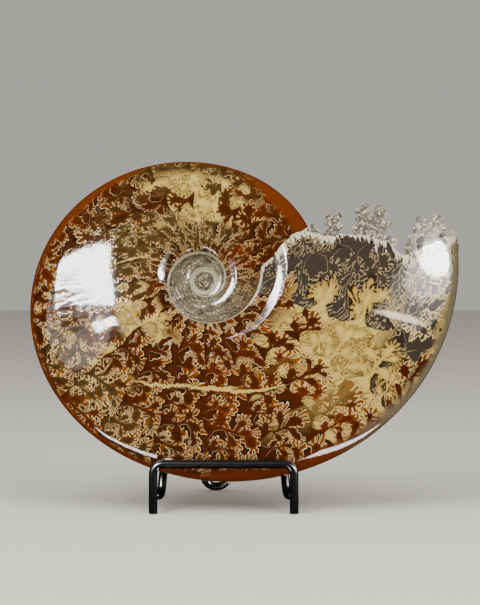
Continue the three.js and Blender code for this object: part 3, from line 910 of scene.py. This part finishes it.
def polished_calcite(colours, coil):
    """Polished calcite. Its surface was ground and buffed to a gloss, so the eye sees crisp highlights over
    the sutures: fronds with pale lined edges, a warm glow at their tips and dark calcite between them.
    Painted shade darkens the cream fronds towards their outlines, and a painted shadow darkens the calcite
    just outside each outline."""
    material, tree = new_material("Polished calcite")
    sutures = add_node(tree, "Group", node_tree=suture_group(coil))
    known = {output.name: output for output in sutures.outputs}
    known["edge"] = add_node(tree, "Attribute", attribute_name="edge").outputs["Fac"]
    known["LAST_START"] = coil.last_start
    # Places for the noises: a chamber as a whole, the broken edge and the seam.
    add_formulas(tree, known, """
        chamber_middle = chamber * SUTURE_SPACING + MIDDLE
        zone_z = back * 5
        lace_across = r_mm * 0.55
        lace_along = edge * 0.11
        streak_across = angle * 2.2
        streak_along = seam * 1.3
    """)
    for name, parts in (
        ("chamber_place", ("chamber_middle", "level", "zone_z")), ("own_place", ("angle", "level", "zone_z")),
        ("lace_place", ("lace_across", "lace_along", "back")),
        ("streak_place", ("streak_across", "streak_along", "back")),
    ):
        known[name] = add_node(tree, "CombineXYZ", [known[part] for part in parts]).outputs[0]
    places = []
    for place, strength, settings in (
        (known["chamber_place"], (0.55, 0.35, 0.0), {"Scale": 4.0, "Detail": 1.0}),
        (known["own_place"], (0.06, 0.10, 0.0), {"Scale": 14.0, "Detail": 6.0, "Roughness": 0.7}),
    ):
        shift = noise_shift(tree, place, strength, **settings)
        moved = add_node(tree, "VectorMath", [place, shift], operation="ADD").outputs[0]
        places.append(add_node(tree, "VectorMath", [moved, (1, 1, 0)], operation="MULTIPLY").outputs[0])
    for place, named_spots in zip(places, (CHAMBER_SPOTS, SURFACE_SPOTS)):
        for name, (softness, spots) in named_spots.items():
            known[name] = add_spots(tree, place, softness, spots)
    ribs_place = add_node(tree, "VectorMath", [moved, (34, 5, 1)], operation="MULTIPLY").outputs[0]
    object_place = add_node(tree, "TexCoord").outputs["Object"]
    for name, place, size, detail in (
        ("ribs", ribs_place, 1, 3.0), ("lace", known["lace_place"], 1, 4.0),
        ("streak", known["streak_place"], 1, 4.0), ("speckle", object_place, 0.9 * MM, 2.5),
        ("cloud", object_place, 5 * MM, 3.0), ("swell", object_place, 9 * MM, 3.0),
    ):
        noise = add_node(tree, "TexNoise", {"Vector": place, "Scale": 1 / size, "Detail": detail})
        known[name] = noise.outputs[0]
    # Shares of the colours, from 0 to 1, then the weight of the gloss and the relief under it. Two shares are
    # painted light: painted shade that darkens the cream fronds towards their outlines, and a painted shadow
    # just outside every frond's outline.
    add_formulas(tree, known, """
        grey = max(grey_spots, chamber > -0.5)
        line = r_mm * 0.0005 + 0.12
        line_all = clamp((line - depth) / 0.15 + 0.5) * inside
        outline = max(line_all * clamp(tip * 0.9 + 0.38), clamp(hanging / -0.11 + 1.15) * 0.48)
        under_line = depth - line
        near_line = clamp(under_line / -1.1 + 1)
        glow = clamp(near_line * tip * inside)
        outside = 1 - inside
        gap = clamp(depth / -0.8 + 1.2) * outside
        old = clamp(angle * -0.5 - 1.1)
        cream_in = max(random > 0.4, chamber > -1.5) * inside
        not_grey = 1 - grey
        cream_share = cream * not_grey * clamp(cream_in + outside)
        lines = max(outline * clamp(r_mm * 0.002 + 0.72), line_all * cream_share)
        cream_shade = near_line * cream_in * cream_share * 0.38
        glow_left = glow * (old * -0.7 + 1) * not_grey * clamp(cream_share * -0.6 + 1)
        gap_share = gap * (cream_share * -0.6 + 0.85)
        hairs = clamp(hair / -0.16 + 1.7) * outside * max(cream_share, max(olive * 0.4, pale))
        hair_share = hairs * 0.85
        deep_warm = clamp(under_line / 1.5 - 0.35) * inside * (1 - cream_share)
        deep = deep_warm * 0.5
        ember_some = clamp(random * 2.2 - 1.2)
        ember_share = inside * ember_some * 0.45
        ember_glow = ember_some * 0.35
        clouds = cloud * 4 - 2
        grain = streak * 1.2 + speckle
        fleck = clamp(grain * 5 + (clouds * 0.5 - 5.9)) * 0.9
        pit = clamp(grain * -5 + (clouds * -0.8 + 5.1)) * 0.9
        to_edge = max(clamp(level / -0.02 + 1.6), rims)
        pale_turn = clamp(angle * 3 + 2.8)
        inner = clamp((LAST_START - angle) * 0.9)
        seam_share = clamp(seam / -0.5 + 2.2) * 0.85
        edge_wavy = lace * 18 + edge
        edge_pale = max(clamp(edge_wavy / -0.7 + 15), clamp(edge_wavy / -1.5 + 8.4) * hung)
        edge_share = edge_pale * 0.85
        coat = max(clamp(ribs * 12 - 5.6) * dull, matt) * -0.95 + 1
        relief = outline * 0.1 + swell
    """)
    paints = {name: getattr(colours, name) for name in colours.__annotations__}
    for result, share, under, over in PAINT_LAYERS:
        mixed = add_node(tree, "Mix", {0: known[share], 6: paints[under], 7: paints[over]}, data_type="RGBA")
        paints[result] = mixed.outputs[2]
    polish = add_node(tree, "Bump", {"Strength": 0.35, "Distance": 0.22 * MM, "Height": known["relief"]})
    surface = add_node(tree, "BsdfPrincipled", {
        "Base Color": paints["ground"], "Roughness": 0.3, "IOR": 1.5, "Specular IOR Level": 0.0,
        "Coat Weight": known["coat"], "Coat Roughness": 0.05, "Coat IOR": 1.5,
        "Coat Normal": polish.outputs[0],
    })
    add_node(tree, "OutputMaterial", [surface.outputs[0]])
    return material


def broken_calcite(colours):
    """Clear calcite left as it broke: frosted grey, speckled and a little rough, with pale frost specks and a
    painted sheen that lightens the faces turned edge-on to the eye.
    """
    material, tree = new_material("Broken calcite")
    place = add_node(tree, "TexCoord").outputs["Object"]
    speckle = add_node(tree, "TexNoise", {
        "Vector": place, "Scale": 1 / (1.6 * MM), "Detail": 3.0, "Distortion": 1.2,
    })
    known = {"speckle": speckle.outputs[0]}
    known["facing"] = add_node(tree, "LayerWeight", {"Blend": 0.5}).outputs["Facing"]
    # Pale frost specks, and a painted sheen that lightens the faces turned edge-on to the eye.
    add_formulas(tree, known, """
        light = max(clamp(speckle * 5 - 2.4), clamp(facing * 2.6 - 0.6))
    """)
    tint = add_node(tree, "Mix", {0: known["light"], 6: colours.lobe, 7: colours.lobe_edge}, data_type="RGBA")
    bump = add_node(tree, "Bump", {"Strength": 0.4, "Distance": 0.2 * MM, "Height": known["speckle"]})
    surface = add_node(tree, "BsdfPrincipled", {
        "Base Color": tint.outputs[2], "Roughness": 0.35, "IOR": 1.5, "Specular IOR Level": 0.1,
        "Coat Weight": 0.35, "Coat Roughness": 0.1, "Transmission Weight": 0.1, "Normal": bump.outputs[0],
    })
    add_node(tree, "OutputMaterial", [surface.outputs[0]])
    return material


def black_paint(sizes):
    """Iron rod dipped in gloss black paint: deep black with sharp highlights and faint waves of the coat."""
    material, tree = new_material("Gloss black paint on iron")
    place = add_node(tree, "TexCoord").outputs["Object"]
    waves = add_node(tree, "TexNoise", {"Vector": place, "Scale": 1 / (1.2 * MM), "Detail": 2.0})
    specks = add_node(tree, "TexNoise", {"Vector": place, "Scale": 1 / (0.5 * MM), "Detail": 2.0})
    known = {"specks": specks.outputs[0]}
    add_formulas(tree, known, "dusty = clamp(specks * 3 - 1.9)")
    tint = add_node(tree, "Mix", {0: known["dusty"], 6: sizes.paint, 7: sizes.dust}, data_type="RGBA")
    bump = add_node(tree, "Bump", {"Strength": 0.25, "Distance": 0.15 * MM, "Height": waves.outputs[0]})
    surface = add_node(tree, "BsdfPrincipled", {
        "Base Color": tint.outputs[2], "Roughness": 0.28, "Coat Weight": 0.6, "Coat Roughness": 0.12,
        "Normal": bump.outputs[0],
    })
    add_node(tree, "OutputMaterial", [surface.outputs[0]])
    return material


# The stand, bent from round iron rod, in mm from the point midway between the front legs.
SUPPORT_START, SUPPORT_CORNER, SUPPORT_TOP = 8, (29.2, 22, 6), (21, 53, 95)
SUPPORT_BEND = 5
REAR_TOP_SPACING, REAR_FOOT_SPACING, REAR_FOOT_SHIFT, REAR_FOOT_Y, REAR_BEND = 12, 11.6, -4.5, 84, 5.4
WELD_GAP = 0.4
BEND_STEPS = 8
ROD_END_BEVEL, ROD_END_ANGLE = 0.5, math.radians(60)
ROD_SMOOTH_ANGLE = math.radians(40)
ROD_MERGE = 0.001


def rod_piece(name, corners, bend, sizes, node):
    """A round rod through corners: a ring is extruded along each straight and spun round each bend."""
    corners = [stand_middle() + Vector(corner) for corner in corners]
    ways = [(after - before).normalized() for before, after in zip(corners, corners[1:])]
    deselect_all()
    bpy.ops.mesh.primitive_circle_add(
        vertices=sizes.sides, radius=sizes.rod / 2, location=corners[0],
        rotation=ways[0].to_track_quat("Z", "Y").to_euler(), enter_editmode=False,
    )
    item = bpy.context.active_object
    item.name = item.data.name = name
    bpy.ops.object.transform_apply(location=True, rotation=True, scale=True)
    bpy.ops.object.mode_set(mode="EDIT")
    bpy.ops.mesh.select_all(action="SELECT")
    here = corners[0]
    for corner, way, after in zip(corners[1:], ways, ways[1:]):
        sweep = way.angle(after)
        reach = bend * MM * math.tan(sweep / 2)
        stop = corner - way * reach
        bpy.ops.mesh.extrude_region_move(TRANSFORM_OT_translate={"value": stop - here})
        axis = way.cross(after).normalized()
        centre = stop + axis.cross(way) * bend * MM
        bpy.ops.mesh.spin(steps=BEND_STEPS, angle=-sweep, center=centre, axis=axis)
        here = corner + after * reach
    bpy.ops.mesh.extrude_region_move(TRANSFORM_OT_translate={"value": corners[-1] - here})
    bpy.ops.mesh.select_all(action="SELECT")
    bpy.ops.mesh.remove_doubles(threshold=ROD_MERGE * MM)
    bpy.ops.mesh.fill_holes(sides=0)
    bpy.ops.mesh.select_all(action="SELECT")
    bpy.ops.mesh.normals_make_consistent(inside=False)
    bpy.ops.object.mode_set(mode="OBJECT")
    apply_modifier(
        item, "BEVEL", width=ROD_END_BEVEL * MM, segments=3, limit_method="ANGLE", angle_limit=ROD_END_ANGLE
    )
    bpy.ops.object.shade_smooth_by_angle(angle=ROD_SMOOTH_ANGLE)
    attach(item, "root")
    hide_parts(node)
    return item


def beside_rod(axis_point, towards, sizes):
    """Where a rod that runs from one rod's axis towards a point starts, clear of that rod."""
    way = (towards - axis_point).normalized()
    return axis_point + way * (sizes.rod / 2 + WELD_GAP * MM)


class AMMONITE_OT_stand(bpy.types.Operator):
    """Bends the five rods of the stand"""

    bl_idname = "ammonite.stand"
    bl_label = "Wire stand"

    def execute(self, context):
        sizes = context.scene.stand_sizes
        half = sizes.leg_spacing / 2
        bar = sizes.bar_top - sizes.rod / 2
        corners = [(-half, 0, 0), (-half, 0, bar), (half, 0, bar), (half, 0, 0)]
        made = [rod_piece("front_rod", corners, sizes.bend / MM, sizes, "stand_front_frame")]
        for side, flip in (("left", -1), ("right", 1)):
            leg = Vector((flip * half, 0, SUPPORT_START * MM))
            corner, top = [Vector((flip * x, y, z)) * MM for x, y, z in (SUPPORT_CORNER, SUPPORT_TOP)]
            corners = [beside_rod(leg, corner, sizes), corner, top]
            name, node = f"{side}_support_rod", f"stand_{side}_support"
            made.append(rod_piece(name, corners, SUPPORT_BEND, sizes, node))
        rise = (Vector((0, *SUPPORT_TOP[1:])) - Vector((0, *SUPPORT_CORNER[1:]))).normalized()
        behind = Vector((0, rise.z, -rise.y)) * (sizes.rod + WELD_GAP * MM)
        bar_place = Vector((0, *SUPPORT_TOP[1:])) * MM - rise * sizes.rod + behind
        end = Vector((sizes.crossbar / 2, 0, 0))
        made.append(rod_piece("cross_rod", [bar_place - end, bar_place + end], 0, sizes, "stand_crossbar"))
        foot = Vector((REAR_FOOT_SHIFT * MM, REAR_FOOT_Y * MM, sizes.rod / 2))
        top = beside_rod(bar_place, foot, sizes)
        top_half, foot_half = [Vector((x / 2 * MM, 0, 0)) for x in (REAR_TOP_SPACING, REAR_FOOT_SPACING)]
        corners = [top - top_half, foot - foot_half, foot + foot_half, top + top_half]
        made.append(rod_piece("rear_rod", corners, REAR_BEND, sizes, "stand_rear_leg"))
        paint = black_paint(sizes)
        for item in made:
            item.data.materials.append(paint)
        return {"FINISHED"}


CAMERA_PLACE = Vector((-2.0, -1023.2, 137.3)) * MM
CAMERA_PITCH = math.radians(-2.39)
SENSOR_WIDTH = 36
LIT_PLACE = Vector((0, 0, 90)) * MM
AIR_STRENGTH = 0.55
# Softboxes: name, shape, azimuth and elevation in degrees, distance, width and height, power, whether only
# the gloss shows them or only the matt light, and their turn about their own axis in degrees.
LIGHTS = [
    ("left_soft_light", "RECTANGLE", -42, 38, 1.1, (0.7, 0.7), 9, False, 0),
    ("right_soft_light", "RECTANGLE", 40, 30, 1.1, (0.7, 0.7), 8, False, 0),
    ("top_soft_light", "RECTANGLE", 0, 75, 1.1, (0.8, 0.8), 6, False, 0),
    ("left_softbox", "RECTANGLE", -38, 27.5, 0.9, (0.42, 0.245), 28, True, 15),
    ("left_streak", "RECTANGLE", -25.5, 17.3, 0.9, (0.11, 0.025), 0.8, True, 25),
    ("left_veil", "ELLIPSE", -42, 14, 0.9, (0.62, 0.42), 2.2, True, 30),
    ("right_softbox", "ELLIPSE", 60, 16, 0.9, (0.62, 0.15), 20, True, -10),
    ("right_halo", "ELLIPSE", 59, 14, 0.9, (0.88, 0.25), 5.5, True, -8),
    ("right_veil", "ELLIPSE", 58, 11, 0.9, (1.2, 0.38), 3.4, True, -4),
    ("left_low_strip", "RECTANGLE", -36, -42, 0.9, (0.75, 0.10), 6, True, 0),
    ("right_low_strip", "RECTANGLE", 66, -54, 0.9, (0.75, 0.12), 7, True, 0),
]


def add_light(name, shape, azimuth, elevation, distance, size, power, gloss, turn):
    """A softbox at an azimuth from the front and an elevation, seen only in the gloss or as soft light."""
    azimuth, elevation, turn = math.radians(azimuth), math.radians(elevation), math.radians(turn)
    out = math.cos(elevation)
    way = Vector((math.sin(azimuth) * out, -math.cos(azimuth) * out, math.sin(elevation)))
    data = bpy.data.lights.new(name, "AREA")
    data.shape = shape
    data.size, data.size_y = size
    data.energy = power
    item = bpy.data.objects.new(name, data)
    item.location = LIT_PLACE + way * distance
    item.rotation_euler = ((-way).to_track_quat("-Z", "Y") @ Quaternion((0, 0, 1), turn)).to_euler()
    item.visible_glossy = gloss
    item.visible_diffuse = not gloss
    bpy.context.scene.collection.objects.link(item)


def pale_paper(settings):
    """Matt pale paper for the floor: no shine, and a grain so faint that the eye sees one even tone."""
    material, tree = new_material("Matt pale paper")
    place = add_node(tree, "TexCoord").outputs["Object"]
    grain = add_node(tree, "TexNoise", {"Vector": place, "Scale": 1 / (3 * MM), "Detail": 2.0}).outputs[0]
    shade = add_node(tree, "Mix", {0: grain, 6: settings.floor, 7: settings.floor_shade}, data_type="RGBA")
    surface = add_node(tree, "BsdfPrincipled", {"Base Color": shade.outputs[2], "Roughness": 0.8})
    add_node(tree, "OutputMaterial", [surface.outputs[0]])
    return material


class AMMONITE_OT_stage(bpy.types.Operator):
    """Lays the floor and sets the lights and the camera"""

    bl_idname = "ammonite.stage"
    bl_label = "Stage"

    def execute(self, context):
        scene, settings = context.scene, context.scene.stage_settings
        deselect_all()
        bpy.ops.mesh.primitive_plane_add(size=settings.floor_size, location=(0, 0, 0))
        floor = context.active_object
        floor.name = "floor"
        floor.data.materials.append(pale_paper(settings))
        floor.visible_glossy = False
        scene.world = scene.world or bpy.data.worlds.new("World")
        scene.world.use_nodes = True
        scene.world.cycles_visibility.glossy = False
        background = scene.world.node_tree.nodes["Background"]
        background.inputs["Color"].default_value = settings.air
        background.inputs["Strength"].default_value = AIR_STRENGTH
        for light in LIGHTS:
            add_light(*light)
        data = bpy.data.cameras.new("camera")
        data.sensor_width = SENSOR_WIDTH
        data.lens = settings.lens
        data.clip_start, data.clip_end = 0.05, 20
        camera = bpy.data.objects.new("camera", data)
        camera.location = CAMERA_PLACE
        camera.rotation_euler = Euler((math.pi / 2 + CAMERA_PITCH, 0, 0))
        scene.collection.objects.link(camera)
        scene.camera = camera
        return {"FINISHED"}


class AMMONITE_PT_panel(bpy.types.Panel):
    """Lists the pieces of the ammonite and its stand"""

    bl_idname = "AMMONITE_PT_panel"
    bl_label = "Ammonite"
    bl_space_type = "VIEW_3D"
    bl_region_type = "UI"
    bl_category = "Ammonite"

    def draw(self, context):
        scene = context.scene
        for operator, groups in (
            (AMMONITE_OT_shell, (scene.coil_sizes, scene.fossil_colours)),
            (AMMONITE_OT_stand, (scene.stand_sizes,)),
            (AMMONITE_OT_stage, (scene.stage_settings,)),
        ):
            box = self.layout.box()
            for group in groups:
                for name in group.__annotations__:
                    box.prop(group, name)
            box.operator(operator.bl_idname)


CLASSES = (
    CoilSizes, FossilColours, StandSizes, StageSettings,
    AMMONITE_OT_shell, AMMONITE_OT_stand, AMMONITE_OT_stage, AMMONITE_PT_panel,
)
SETTINGS = {
    "coil_sizes": CoilSizes, "fossil_colours": FossilColours,
    "stand_sizes": StandSizes, "stage_settings": StageSettings,
}


def register():
    for cls in CLASSES:
        bpy.utils.register_class(cls)
    for name, cls in SETTINGS.items():
        setattr(bpy.types.Scene, name, PointerProperty(type=cls))


def unregister():
    for name in SETTINGS:
        delattr(bpy.types.Scene, name)
    for cls in reversed(CLASSES):
        bpy.utils.unregister_class(cls)


def main():
    register()
    bpy.ops.ammonite.shell()
    bpy.ops.ammonite.stand()
    bpy.ops.ammonite.stage()


if __name__ == "__main__":
    main()
